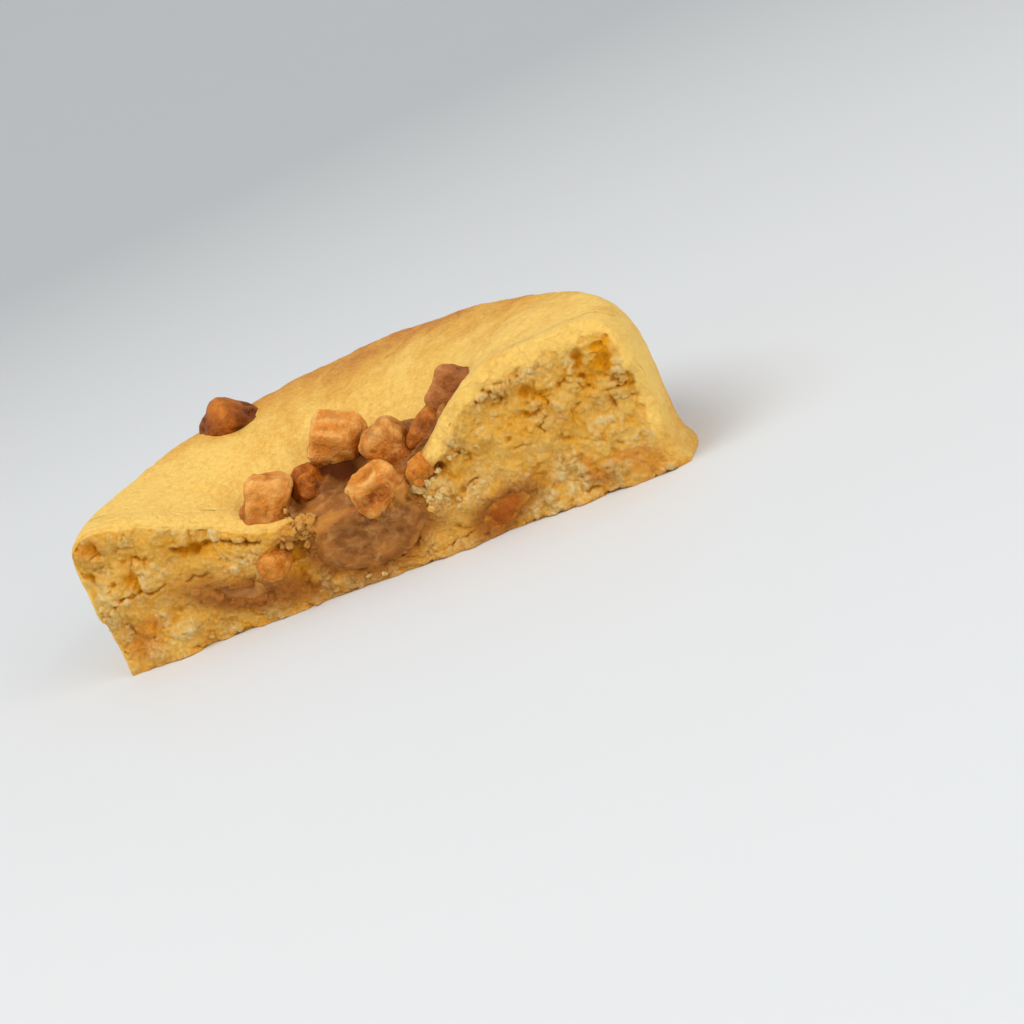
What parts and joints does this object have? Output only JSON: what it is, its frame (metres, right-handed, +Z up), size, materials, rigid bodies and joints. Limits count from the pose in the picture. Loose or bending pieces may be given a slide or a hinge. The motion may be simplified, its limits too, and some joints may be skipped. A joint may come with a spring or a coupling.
{
  "type": "half caramel-filled cookie",
  "caption": "Half of a soft-baked golden cookie broken across, with a melted caramel core at the broken face and caramel cubes in the dip of its top.",
  "frame": {"origin": "middle of the footprint, on the flat underside", "axes": "+Z up, +X along the broken face to the right as one looks at it, the broken face towards -Y"},
  "size_m": [0.0859, 0.0503, 0.0265],
  "materials": {
    "dough": "matt baked dough, golden crust and paler crumb",
    "filling": "soft glossy melted caramel",
    "cube": "satin caramel cube",
    "toffee": "dry baked caramel bit"
  },
  "bodies": {
    "root": {"dough": "dough", "caramel_core": "filling", "caramel_patch": "filling", "caramel_seam": "filling", "caramel_slump": "cube", "caramel_chip": "cube", "cube_front": "cube", "cube_sunk": "cube", "cube_right": "cube", "cube_top": "cube", "cube_left": "cube", "cube_crest": "cube", "cube_rim": "cube", "toffee_bit": "toffee"}
  },
  "joints": []
}
